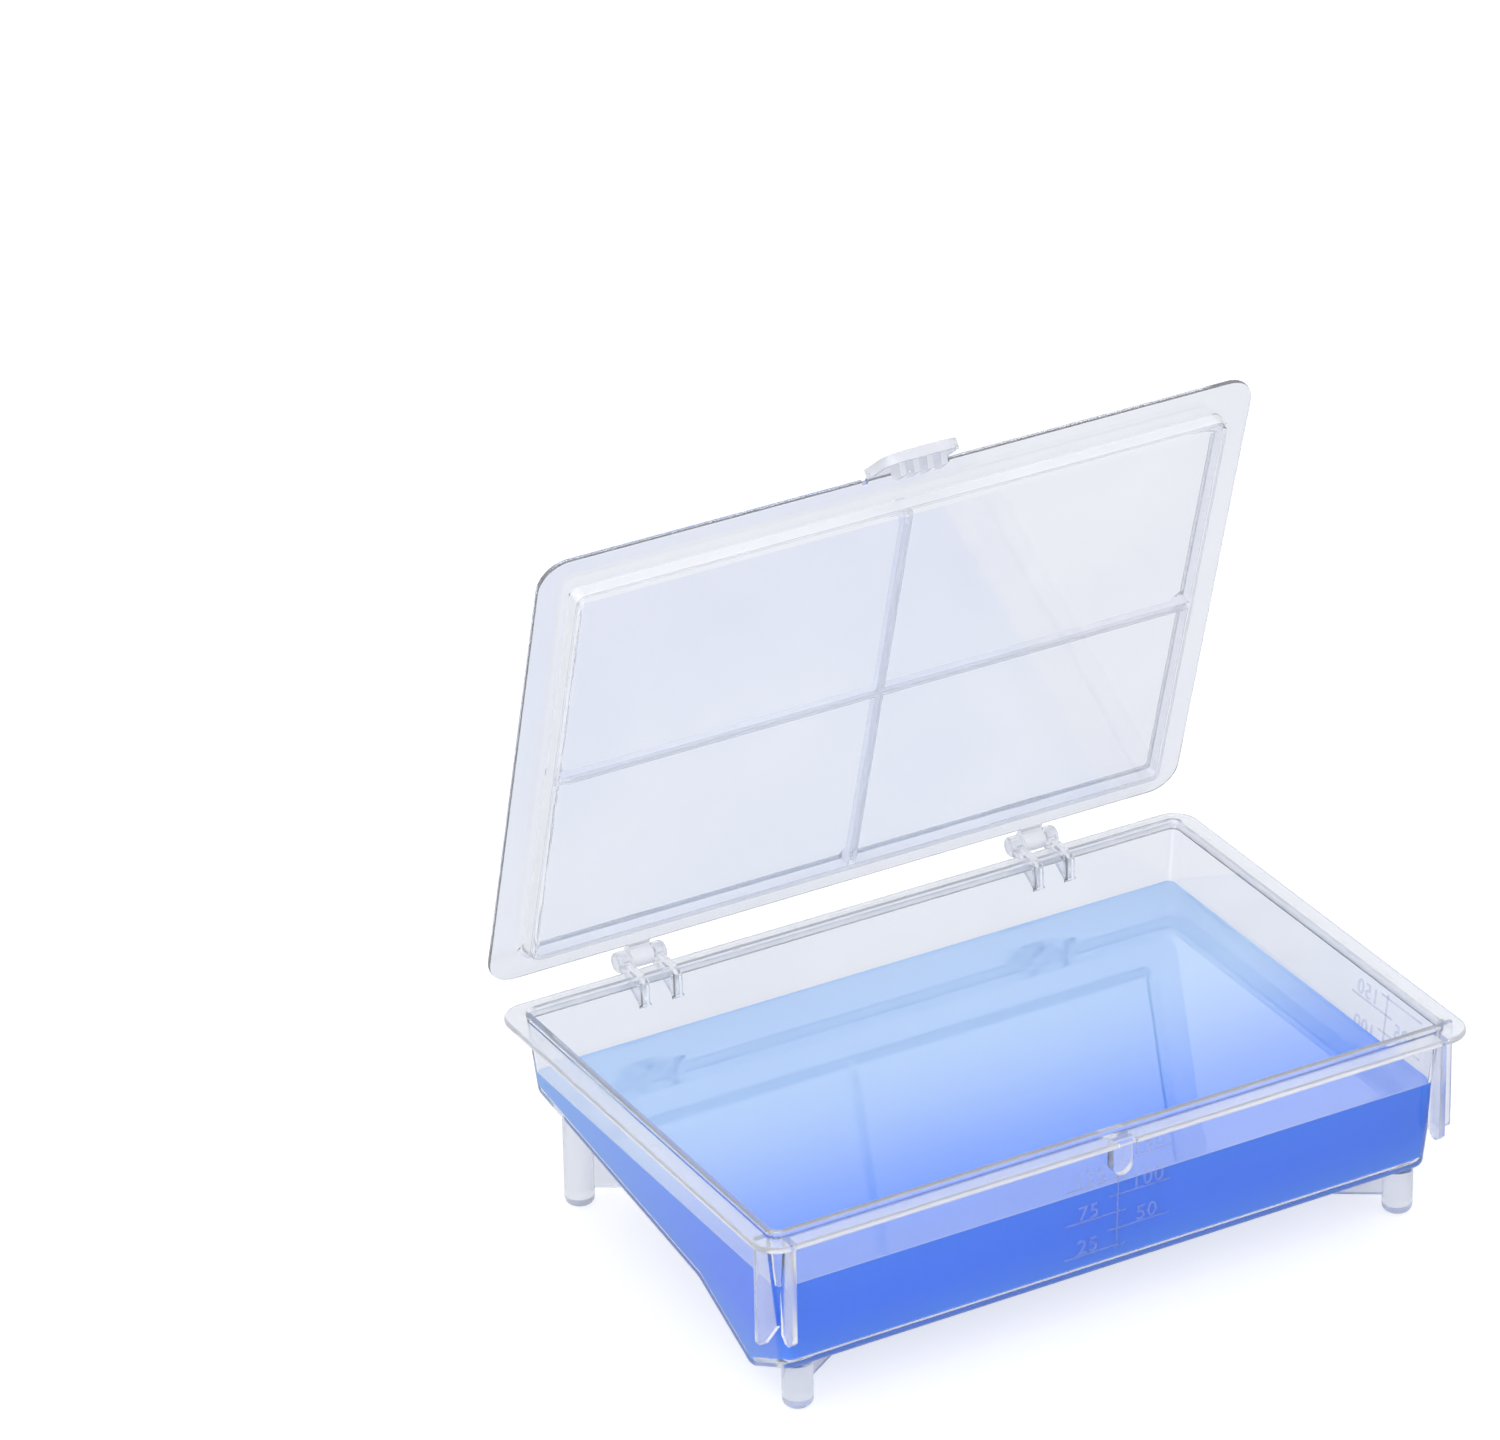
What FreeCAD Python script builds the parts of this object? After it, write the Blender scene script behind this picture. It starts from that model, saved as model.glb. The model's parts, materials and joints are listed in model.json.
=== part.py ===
import FreeCAD, Part
import math
import os
from FreeCAD import Vector

# Reagent reservoir with a hinged lid, in clear polypropylene.  Three pieces: the tray on its
# four legs, the lid that turns on two knuckle hinges at the back, and the latch flap at the
# lid's front edge.  The tray stands on z = 0, x runs along its length and +y is the hinge
# side.  The lid and the flap are drawn closed and latched, then turned to where they rest.
# Lengths are in millimetres, angles in degrees.

# ---- tray: rim and walls
rim_length = 127.8          # outside of the flange, along x
rim_width = 85.6            # outside of the flange, along y
rim_height = 33.3           # top of the flange above the surface
rim_corner_radius = 4.5
flange_overhang = 3.1       # flange edge to the outside of the wall
flange_thickness = 1.1
flange_edge_round = 0.45
ridge_height = 0.85         # wall standing above the flange
wall = 1.15
end_draft = 6.0             # lean of the two end walls
long_draft = 3.0            # lean of the front and back walls
wall_corner_radius = 2.4
lead_in_depth = 0.5         # shallow step inside the mouth
lead_in_set = 0.12
ridge_round = 0.4

# ---- tray: floor, a shallow back slope falling to a trough along the front
trough_setback = 16.8       # front rim edge to the trough's lowest line
trough_height = 2.2         # underside of the trough above the surface
fold_setback = 31.2         # front rim edge to the fold between the slopes
fold_height = 10.7
back_slope = 9.7
front_rise = 27.5
floor_fold_round = 2.0
floor_edge_round = 1.7

# ---- tray: legs and the crossed webs between them
leg_radius = 2.45
leg_inset_end = 9.4         # rim end to leg axis
leg_inset_front = 7.4
leg_inset_back = 9.1
foot_round = 1.3
web_thickness = 1.1
web_height = 3.0            # lower edge of the webs above the surface

# ---- tray: catch rib, notch and corner ribs
catch_width = 3.5
catch_stand = 1.5           # how far the catch rib stands off the wall
catch_drop = 6.9            # flange top to its rounded lower end
notch_width = 3.3
notch_depth = 0.5
corner_rib_thickness = 1.1
corner_rib_drop = 19.0      # flange top to the ribs' lower ends
corner_rib_inset = 0.8      # flange edge to the front ribs' outer edge
end_rib_inset = 1.2         # flange edge to the end ribs' outer edge
corner_rib_chamfer = 1.2
end_rib_slope = 2.2         # rise of the end ribs' lower ends towards the wall
corner_rib_round = 0.4
front_rib_from_end = 5.5    # rim end to the middle of the rib on the front wall
end_rib_from_front = 5.4    # rim front to the middle of the rib on the end wall

# ---- hinges
hinge_spread = 36.4         # centre of the tray to the middle of each hinge
axis_back = 2.5             # hinge axis behind the rim's back edge
axis_rise = 0.4             # hinge axis above the flange top
tongue_width = 3.8
tongue_gap = 0.4            # side gap between the lid's tongue and each ear
ear_thickness = 1.3
ear_head_radius = 1.7
ear_head_stand = 0.8        # boss on the ear's outer side
ear_head_round = 0.5
ear_rib_depth = 4.6         # flange top to the ear rib's lower end inside the wall
ear_rib_stand = 0.75        # how far the ear rib stands off the inner wall
ear_top_under_lid = 0.15    # ear rib kept below the closed lid
pin_radius = 0.8
pin_length = 1.5
pin_clearance = 0.06
tongue_round = 1.55

# ---- lid
lid_side_setback = 0.1      # lid edge inside the rim's end, on each side
lid_front_overhang = 1.0    # lid edge beyond the rim's front edge
lid_gap = 0.05              # closed lid above the ridge
lid_thickness = 0.9
lid_corner_radius = 5.0
plug_gap = 0.25             # front of the plug to the inside of the tray's front wall
plug_depth = 3.2            # flange underside to panel underside
plug_taper = 0.4
plug_wall = 0.8
panel_thickness = 0.8
plug_corner_radius = 1.6
plug_edge_round = 0.45
lid_edge_round = 0.35
lid_rib_round = 0.45
lid_rib_thickness = 1.3
lid_rib_height = 1.8
lid_rib_end = 2.4           # length of the raised rib ends
gusset_length = 2.4
gusset_width = 0.7
gusset_height = 1.0
gusset_set = 0.3            # gusset's middle inside the plug's corner
lid_open_angle = 74.6       # how far the lid stands open at rest

# ---- latch flap, joined to the lid by a film hinge
flap_width = 13.5
flap_length = 7.9           # hinge line to the free edge
flap_thickness = 0.9
flap_offset = 0.68          # middle of the flap outside the hinge line
flap_corner_radius = 2.6
flap_hinge_gap = 0.12       # flap knuckle to the lid's edge
flap_lip_width = 0.8        # low lip round the flap's inner face
flap_lip_stand = 0.7
flap_lip_drop = 1.2         # hinge line to the upper ends of the lip
lid_nick_width = 1.0        # nicks in the lid's edge beside the flap
lid_nick_depth = 0.6
fin_count = 4
fin_pitch = 2.45
fin_thickness = 1.1
fin_stand = 2.5
fin_length = 4.1
fin_slant = 1.2             # how much shorter the fins are at their tips
fin_gap = 0.3               # latched fins below the flange
pad_width = 7.2
pad_height = 1.9
pad_stand = 0.12
flap_rest_angle = 54.0      # flap swung out from its latched position at rest

# ---- derived places
half_length = rim_length / 2
half_width = rim_width / 2
wall_half_x = half_length - flange_overhang
wall_half_y = half_width - flange_overhang
ridge_top = rim_height + ridge_height
axis_y = half_width + axis_back
axis_z = rim_height + axis_rise
lid_under = ridge_top + lid_gap
lid_top = lid_under + lid_thickness
lid_front = -half_width - lid_front_overhang
lid_back = half_width
lid_half_x = half_length - lid_side_setback
plug_inset = lid_front_overhang + flange_overhang + wall + plug_gap
flap_axis_z = lid_under + lid_thickness / 2
flap_axis_y = lid_front - flap_hinge_gap - flap_thickness / 2
flap_outer_y = flap_axis_y - flap_offset - flap_thickness / 2
flap_inner_y = flap_outer_y + flap_thickness
BIG = 2 * (rim_length + rim_width)
NUDGE = 0.01


def rounded_rectangle(half_x, low_y, high_y, radius, z):
    """Closed wire: a rectangle with round corners at height z."""
    corners = [(half_x, low_y, -90), (half_x, high_y, 0), (-half_x, high_y, 90), (-half_x, low_y, 180)]
    arcs = []
    for x, y, start in corners:
        centre = Vector(x - math.copysign(radius, x), y + (radius if y == low_y else -radius), z)
        points = []
        for angle in (start, start + 45, start + 90):
            turn = math.radians(angle)
            points.append(centre + Vector(radius * math.cos(turn), radius * math.sin(turn), 0))
        arcs.append(points)
    edges = []
    for index, points in enumerate(arcs):
        edges.append(Part.Arc(*points).toShape())
        edges.append(Part.LineSegment(points[2], arcs[(index + 1) % 4][0]).toShape())
    return Part.Wire(edges)


def plate(half_x, low_y, high_y, radius, z, thickness):
    """Flat plate with round corners, from z upwards."""
    face = Part.Face(rounded_rectangle(half_x, low_y, high_y, radius, z))
    return face.extrude(Vector(0, 0, thickness))


def box(low, high):
    """Box between two corners."""
    size = Vector(*high) - Vector(*low)
    return Part.makeBox(size.x, size.y, size.z, Vector(*low))


def block_along_x(points, low_x, high_x):
    """Outline in the YZ plane, drawn out along x."""
    wire = Part.makePolygon([Vector(low_x, y, z) for y, z in points + points[:1]])
    return Part.Face(wire).extrude(Vector(high_x - low_x, 0, 0))


def cylinder_x(radius, low_x, high_x, y, z):
    """Cylinder along x."""
    return Part.makeCylinder(radius, high_x - low_x, Vector(low_x, y, z), Vector(1, 0, 0))


def tapered_well(inset, low_z, high_z):
    """Solid of the drafted walls, set in by inset and with no floor."""
    wires = []
    for z in (low_z, high_z):
        drop = rim_height - z
        half_x = wall_half_x - inset - drop * math.tan(math.radians(end_draft))
        half_y = wall_half_y - inset - drop * math.tan(math.radians(long_draft))
        radius = max(wall_corner_radius - inset, 0.6)
        wires.append(rounded_rectangle(half_x, -half_y, half_y, radius, z))
    return Part.makeLoft(wires, True, True)


def floor_line(lift):
    """Floor's section in the YZ plane, raised square to itself by lift, as (y, z) points."""
    trough_y = -half_width + trough_setback
    fold_y = -half_width + fold_setback
    reach = rim_width
    rise = math.tan(math.radians(front_rise))
    back = math.tan(math.radians(back_slope))
    points = [
        Vector(0, trough_y - reach, trough_height + reach * rise),
        Vector(0, trough_y, trough_height),
        Vector(0, fold_y, fold_height),
        Vector(0, fold_y + reach, fold_height + reach * back),
    ]
    if lift == 0:
        return [(p.y, p.z) for p in points]
    lines = []
    for start, end in zip(points, points[1:]):
        along = (end - start).normalize()
        normal = Vector(0, -along.z, along.y)
        lines.append((start + normal * lift, along))
    raised = [lines[0][0]]
    for (start, along), (other, other_along) in zip(lines, lines[1:]):
        cross = along.y * other_along.z - along.z * other_along.y
        gap = other - start
        step = (gap.y * other_along.z - gap.z * other_along.y) / cross
        raised.append(start + along * step)
    raised.append(lines[-1][0] + lines[-1][1] * reach)
    return [(p.y, p.z) for p in raised]


def round_floor(solid, lift, edge_round, fold_round):
    """Round the floor's folds and the edge where it meets the walls."""
    line = floor_line(lift)
    folds = []
    rest = []
    for edge in solid.Edges:
        spots = [edge.valueAt(edge.FirstParameter + part * (edge.LastParameter - edge.FirstParameter))
                 for part in (0, 0.5, 1)]
        if not all(near_line(spot, line) for spot in spots):
            continue
        flat = max(spot.y for spot in spots) - min(spot.y for spot in spots) < 0.01
        is_fold = flat and any(abs(spots[0].y - y) < 0.05 for y, _ in line[1:3])
        (folds if is_fold else rest).append(edge)
    solid = solid.makeFillet(fold_round, folds)
    rest = []
    for edge in solid.Edges:
        spots = [edge.valueAt(edge.FirstParameter + part * (edge.LastParameter - edge.FirstParameter))
                 for part in (0, 0.5, 1)]
        outside = max(abs(spot.x) for spot in spots) > wall_half_x / 2
        if outside and all(below_walls(spot, line, fold_round) for spot in spots):
            rest.append(edge)
    return solid.makeFillet(edge_round, rest)


def floor_z(y, line):
    """Height of the floor section at y."""
    for (y0, z0), (y1, z1) in zip(line, line[1:]):
        if y0 <= y <= y1:
            return z0 + (z1 - z0) * (y - y0) / (y1 - y0)
    return BIG


def near_line(spot, line):
    return abs(spot.z - floor_z(spot.y, line)) < 0.02


def below_walls(spot, line, slack):
    """True on the floor or on one of its rounded folds."""
    return abs(spot.z - floor_z(spot.y, line)) < 0.35 * slack


def well(inset, edge_round, fold_round, high_z):
    """Walls and floor as one closed solid, set in by inset."""
    line = floor_line(inset)
    low = block_along_x(line + [(line[-1][0], BIG), (line[0][0], BIG)], -BIG, BIG)
    solid = tapered_well(inset, 0, high_z).common(low)
    return round_floor(solid, inset, edge_round, fold_round)


def level_edges(solid, z):
    """Edges lying flat at height z."""
    return [e for e in solid.Edges if e.BoundBox.ZLength < NUDGE and abs(e.BoundBox.ZMax - z) < NUDGE]


def upright_edges(solid):
    """Straight edges standing up."""
    return [e for e in solid.Edges if e.BoundBox.XLength < NUDGE and e.BoundBox.YLength < NUDGE]


def edges_along_x(solid, z):
    """Straight edges along x at height z."""
    return [e for e in level_edges(solid, z) if e.BoundBox.YLength < NUDGE]


def flange():
    """Flange round the mouth, with a notch over the catch rib."""
    solid = plate(half_length, -half_width, half_width, rim_corner_radius,
                  rim_height - flange_thickness, flange_thickness)
    solid = solid.makeFillet(flange_edge_round, [e for e in solid.Edges if e.BoundBox.ZLength < 0.01])
    notch = box((-notch_width / 2, -half_width - 1, 0), (notch_width / 2, -half_width + notch_depth, BIG))
    return solid.cut(notch)


def leg_places():
    """The four leg axes as (x, y)."""
    places = []
    for side in (-1, 1):
        places.append((side * (half_length - leg_inset_end), -half_width + leg_inset_front))
        places.append((side * (half_length - leg_inset_end), half_width - leg_inset_back))
    return places


def leg(x, y):
    """Round leg up into the floor."""
    top = floor_z(y, floor_line(0)) + wall / 2 + leg_radius * math.tan(math.radians(front_rise))
    solid = Part.makeCylinder(leg_radius, top, Vector(x, y, 0))
    foot = [e for e in solid.Edges if e.BoundBox.ZMax < 0.01]
    return solid.makeFillet(foot_round, foot)


def web(start, end):
    """Upright plate between two opposite legs, from web_height up into the walls' solid."""
    run = Vector(end[0] - start[0], end[1] - start[1], 0)
    solid = Part.makeBox(run.Length, web_thickness, rim_height - web_height - 5 * flange_thickness,
                         Vector(0, -web_thickness / 2, web_height))
    angle = math.degrees(math.atan2(run.y, run.x))
    solid.rotate(Vector(0, 0, 0), Vector(0, 0, 1), angle)
    solid.translate(Vector(start[0], start[1], 0))
    return solid


def catch_rib():
    """Short upright rib on the front wall under the flange, with a round lower end."""
    low = rim_height - catch_drop
    face = -wall_half_y - catch_stand
    radius = catch_width / 2
    middle = low + radius
    solid = box((-radius, face, middle), (radius, -wall_half_y + wall, rim_height - flange_thickness / 2))
    lower = Part.makeCylinder(radius, -wall_half_y + wall - face, Vector(0, face, middle), Vector(0, 1, 0))
    return solid.fuse(lower)


def corner_ribs(side):
    """Two upright ribs under the flange at one front corner."""
    low = rim_height - corner_rib_drop
    high = rim_height - flange_thickness / 2
    half = corner_rib_thickness / 2
    outer_y = -half_width + corner_rib_inset
    root_y = -wall_half_y + wall
    outline = [(root_y, high), (root_y, low + corner_rib_chamfer), (root_y - wall, low),
               (outer_y + corner_rib_chamfer, low), (outer_y, low + corner_rib_chamfer), (outer_y, high)]
    x = side * (half_length - front_rib_from_end)
    front = block_along_x(outline, x - half, x + half)
    front = front.makeFillet(corner_rib_round, [e for e in upright_edges(front) if e.BoundBox.YMax < root_y - wall])
    outer_x = half_length - end_rib_inset
    drop = corner_rib_drop * math.tan(math.radians(end_draft))
    root_x = wall_half_x - drop - wall / 2
    corners = [(root_x, high), (root_x, low + end_rib_slope), (wall_half_x - drop, low + end_rib_slope),
               (wall_half_x - drop + end_rib_slope, low), (outer_x - corner_rib_round, low),
               (outer_x, low + corner_rib_round), (outer_x, high)]
    y = -half_width + end_rib_from_front - half
    wire = Part.makePolygon([Vector(side * px, y, pz) for px, pz in corners + corners[:1]])
    end = Part.Face(wire).extrude(Vector(0, corner_rib_thickness, 0))
    end = end.makeFillet(corner_rib_round, [e for e in upright_edges(end) if abs(e.BoundBox.XMax) > root_x + wall])
    return front.fuse(end)


def ear_sides():
    """Every ear as (hinge centre, side of it)."""
    return [(place * hinge_spread, side) for place in (-1, 1) for side in (-1, 1)]


def ear_span(centre, side, inner, outer):
    """x range from inner to outer, measured from the hinge's middle on one side."""
    spots = sorted((centre + side * inner, centre + side * outer))
    return spots[0], spots[1]


def ear(centre, side):
    """Ear outside the wall: plate over the flange, gusset below it and a round head."""
    near = tongue_width / 2 + tongue_gap
    low_x, high_x = ear_span(centre, side, near, near + ear_thickness)
    top = lid_under - ear_top_under_lid
    reach = ear_head_radius
    outline = [(wall_half_y - wall / 2, top), (half_width + 0.3, top), (axis_y, axis_z + reach),
               (axis_y, axis_z - reach), (half_width - 0.2, rim_height - 2.4 * flange_thickness),
               (wall_half_y - wall / 2, rim_height - ear_rib_depth)]
    solid = block_along_x(outline, low_x, high_x)
    head_low, head_high = ear_span(centre, side, near, near + ear_thickness + ear_head_stand)
    head = cylinder_x(ear_head_radius, head_low, head_high, axis_y, axis_z)
    face_x = head_high if side > 0 else head_low
    rim = [e for e in head.Edges if abs(e.BoundBox.XMin - face_x) < 0.01 and e.BoundBox.XLength < 0.01]
    return solid.fuse(head.makeFillet(ear_head_round, rim))


def ear_rib(centre, side):
    """The ear's root inside the back wall, a slim rib with a flared foot."""
    near = tongue_width / 2 + tongue_gap
    low_x, high_x = ear_span(centre, side, near, near + ear_thickness)
    top = lid_under - ear_top_under_lid
    low = rim_height - ear_rib_depth
    inner = wall_half_y - wall
    lean = ear_rib_depth * math.tan(math.radians(long_draft))
    outline = [(inner + wall / 2, top), (inner - ear_rib_stand, top - ear_rib_stand),
               (inner - ear_rib_stand * 0.8 - lean, low + 0.6), (inner - lean * 0.8, low),
               (inner + wall / 2 - lean, low)]
    rib = block_along_x(outline, low_x, high_x)
    flare = 0.35
    foot = block_along_x([(inner + wall / 2 - lean, low + 0.7), (inner - ear_rib_stand * 0.7 - lean, low + 0.5),
                          (inner - lean * 0.8, low - 0.1), (inner + wall / 2 - lean, low - 0.1)],
                         low_x - flare, high_x + flare)
    return rib.fuse(foot)


def pin_hole(centre, side):
    """Blind hole in an ear's head for the lid's pin."""
    near = tongue_width / 2 + tongue_gap
    low_x, high_x = ear_span(centre, side, near - tongue_gap, near + pin_length)
    return cylinder_x(pin_radius + pin_clearance, low_x, high_x, axis_y, axis_z)


def make_tray():
    """The whole tray."""
    outer = well(0, floor_edge_round, floor_fold_round, ridge_top)
    cavity = well(wall, floor_edge_round - wall / 2, floor_fold_round + wall, ridge_top + 1)
    places = leg_places()
    added = [flange()]
    added += [leg(x, y) for x, y in places]
    added.append(web(places[0], places[3]))
    added.append(web(places[1], places[2]))
    added.append(catch_rib())
    added += [corner_ribs(side) for side in (-1, 1)]
    added += [ear(centre, side) for centre, side in ear_sides()]
    lead_in = tapered_well(wall - lead_in_set, rim_height - lead_in_depth, ridge_top + 1)
    shell = single(outer.cut([cavity, lead_in]))
    shell = shell.makeFillet(ridge_round, level_edges(shell, ridge_top))
    solid = shell.fuse([piece.cut([cavity, lead_in]) for piece in added])
    solid = solid.fuse([ear_rib(centre, side) for centre, side in ear_sides()])
    return solid.cut([pin_hole(centre, side) for centre, side in ear_sides()])


def lid_well(extra, low_z, high_z):
    """Solid of the lid's plug, set in by extra, with its slight taper."""
    wires = []
    for z in (low_z, high_z):
        drop = max(lid_under - z, 0)
        inset = plug_inset + extra + plug_taper * drop / plug_depth
        wires.append(rounded_rectangle(lid_half_x - inset, lid_front + inset, lid_back - inset,
                                       max(plug_corner_radius - extra, 0.6), z))
    return Part.makeLoft(wires, True, True)


def lid_ribs():
    """Crossed ribs in the lid's recess, rising where they meet its walls."""
    floor = lid_under - plug_depth + panel_thickness / 2
    top = floor + panel_thickness / 2 + lid_rib_height
    high = lid_top - 0.3
    half = lid_rib_thickness / 2
    middle = (lid_front + lid_back) / 2
    reach_x = lid_half_x - plug_inset - plug_wall / 2
    reach_y = (lid_back - lid_front) / 2 - plug_inset - plug_wall / 2
    solids = []
    for reach, across in ((reach_x, False), (reach_y, True)):
        outline = [(-reach, floor), (reach, floor), (reach, high), (reach - plug_wall, high),
                   (reach - plug_wall - lid_rib_end, top), (-reach + plug_wall + lid_rib_end, top),
                   (-reach + plug_wall, high), (-reach, high)]
        if across:
            rib = block_along_x([(y + middle, z) for y, z in outline], -half, half)
            edges = [e for e in level_edges(rib, top) if e.BoundBox.XLength < NUDGE]
        else:
            wire = Part.makePolygon([Vector(x, middle - half, z) for x, z in outline + outline[:1]])
            rib = Part.Face(wire).extrude(Vector(0, lid_rib_thickness, 0))
            edges = edges_along_x(rib, top)
        solids.append(rib.makeFillet(lid_rib_round, edges))
    return solids


def gusset(x, y, angle):
    """Small bar set across a corner of the plug, under the lid's flange."""
    solid = Part.makeBox(gusset_length, gusset_width, gusset_height + lid_thickness / 2,
                         Vector(-gusset_length / 2, -gusset_width / 2, lid_under - gusset_height))
    solid.rotate(Vector(0, 0, 0), Vector(0, 0, 1), angle)
    solid.translate(Vector(x, y, 0))
    return solid


def tongue(centre):
    """Knuckle at the lid's back edge that wraps the hinge axis."""
    low_x = centre - tongue_width / 2
    high_x = centre + tongue_width / 2
    outline = [(lid_back - 1, lid_under), (lid_back - 1, lid_top), (lid_back + 0.4, lid_top),
               (axis_y - 0.7, axis_z + tongue_round + 0.35), (axis_y + 0.5, axis_z + tongue_round + 0.35),
               (axis_y + tongue_round, axis_z + 0.9), (axis_y, axis_z), (lid_back, lid_under)]
    return block_along_x(outline, low_x, high_x).fuse(cylinder_x(tongue_round, low_x, high_x, axis_y, axis_z))


def pins(centre):
    """The two hinge pins moulded on one tongue."""
    reach = tongue_width / 2 + tongue_gap + pin_length - 0.2
    return cylinder_x(pin_radius, centre - reach, centre + reach, axis_y, axis_z)


def make_lid():
    """The lid, drawn closed."""
    solid = plate(lid_half_x, lid_front, lid_back, lid_corner_radius, lid_under, lid_thickness)
    solid = solid.makeFillet(lid_edge_round, level_edges(solid, lid_under) + level_edges(solid, lid_top))
    for side in (-1, 1):
        low_x, high_x = ear_span(0, side, flap_width / 2, flap_width / 2 + lid_nick_width)
        solid = solid.cut(box((low_x, lid_front - 1, 0), (high_x, lid_front + lid_nick_depth, BIG)))
    panel_under = lid_under - plug_depth
    plug = lid_well(0, panel_under, lid_under + lid_thickness / 2)
    recess = lid_well(plug_wall, panel_under + panel_thickness, lid_top + 1)
    plug = plug.makeFillet(plug_edge_round, level_edges(plug, panel_under))
    recess = recess.makeFillet(plug_edge_round / 2, level_edges(recess, panel_under + panel_thickness))
    solid = solid.fuse(plug).cut(recess)
    corner = plug_inset + gusset_set
    added = lid_ribs()
    added.append(gusset(lid_half_x - corner, lid_front + lid_front_overhang + corner, 45))
    added.append(gusset(-lid_half_x + corner, lid_back - corner, 45))
    for place in (-1, 1):
        added += [tongue(place * hinge_spread), pins(place * hinge_spread)]
    return solid.fuse(added)


def flap_outline(inset, low, high, y):
    """Wire in a plane across y: the flap's outline with its two free corners round."""
    right = flap_width / 2 - inset
    radius = flap_corner_radius - inset
    bend = radius * (1 - math.sqrt(0.5))
    corners = []
    for side in (1, -1):
        corners.append([Vector(side * right, y, low + radius),
                        Vector(side * (right - bend), y, low + bend),
                        Vector(side * (right - radius), y, low)])
    top = [Vector(-right, y, high), Vector(right, y, high)]
    edges = [
        Part.LineSegment(top[0], top[1]).toShape(),
        Part.LineSegment(top[1], corners[0][0]).toShape(),
        Part.Arc(*corners[0]).toShape(),
        Part.LineSegment(corners[0][2], corners[1][2]).toShape(),
        Part.Arc(corners[1][2], corners[1][1], corners[1][0]).toShape(),
        Part.LineSegment(corners[1][0], top[0]).toShape(),
    ]
    return Part.Wire(edges)


def flap_plate(inset, low, high, near_y, far_y):
    """Flap's outline, set in by inset, drawn out from near_y to far_y."""
    face = Part.Face(flap_outline(inset, low, high, near_y))
    return face.extrude(Vector(0, far_y - near_y, 0))


def make_flap():
    """The latch flap, drawn hanging from the closed lid."""
    half = flap_thickness / 2
    low = flap_axis_z - flap_length
    lip_high = flap_axis_z - flap_lip_drop
    solid = flap_plate(0, low, flap_axis_z + half, flap_outer_y, flap_inner_y)
    lip = flap_plate(0, low, lip_high, flap_inner_y - half, flap_inner_y + flap_lip_stand)
    lip = lip.cut(flap_plate(flap_lip_width, low + flap_lip_width, lip_high + 1, flap_inner_y, flap_inner_y + 5))
    knuckle = cylinder_x(half, -flap_width / 2, flap_width / 2, flap_axis_y, flap_axis_z)
    bridge = box((-flap_width / 2, flap_inner_y - half, flap_axis_z - half),
                 (flap_width / 2, flap_axis_y, flap_axis_z + half))
    pad = box((-pad_width / 2, flap_outer_y - pad_stand, low + 0.4),
              (pad_width / 2, flap_inner_y - half, low + 0.4 + pad_height))
    fin_top = rim_height - flange_thickness - fin_gap
    root = flap_inner_y - half
    tip = flap_inner_y + fin_stand
    fins = []
    for index in range(fin_count):
        x = (index - (fin_count - 1) / 2) * fin_pitch
        outline = [(root, fin_top), (tip, fin_top), (tip, fin_top - fin_length + fin_slant),
                   (root, fin_top - fin_length)]
        fins.append(block_along_x(outline, x - fin_thickness / 2, x + fin_thickness / 2))
    return solid.fuse([lip, knuckle, bridge, pad] + fins)


def turn_open(solid, y, z, angle):
    """Turn a piece about an axis along x, its front edge going up."""
    turned = solid.copy()
    turned.rotate(Vector(0, y, z), Vector(-1, 0, 0), angle)
    return turned


def single(shape):
    """The one solid of a fused shape."""
    solids = shape.Solids
    if len(solids) != 1:
        raise ValueError("expected one solid, got %d" % len(solids))
    return solids[0]


tray = single(make_tray())
lid = turn_open(single(make_lid()), axis_y, axis_z, lid_open_angle)
flap = turn_open(single(make_flap()), flap_axis_y, flap_axis_z, flap_rest_angle)
flap = turn_open(flap, axis_y, axis_z, lid_open_angle)

# The part's own frame has its origin at the centre of its base as it rests.
reach = Part.makeCompound([tray, lid, flap]).optimalBoundingBox(True, False)
origin_y = (reach.YMin + reach.YMax) / 2
print("frame origin %.4f behind the middle of the mouth" % origin_y)

os.makedirs("parts", exist_ok=True)
for name, solid in (("tray", tray), ("lid", lid), ("latch_flap", flap)):
    solid.translate(Vector(0, -origin_y, 0))
    solid.exportStep("parts/%s.step" % name)
    size = solid.BoundBox
    print(name, "volume %.1f" % solid.Volume, "valid", solid.isValid(),
          "x %.2f..%.2f" % (size.XMin, size.XMax), "y %.2f..%.2f" % (size.YMin, size.YMax),
          "z %.2f..%.2f" % (size.ZMin, size.ZMax))
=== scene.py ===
import json
import math

import bmesh
import bpy
from mathutils import Matrix, Vector


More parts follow.
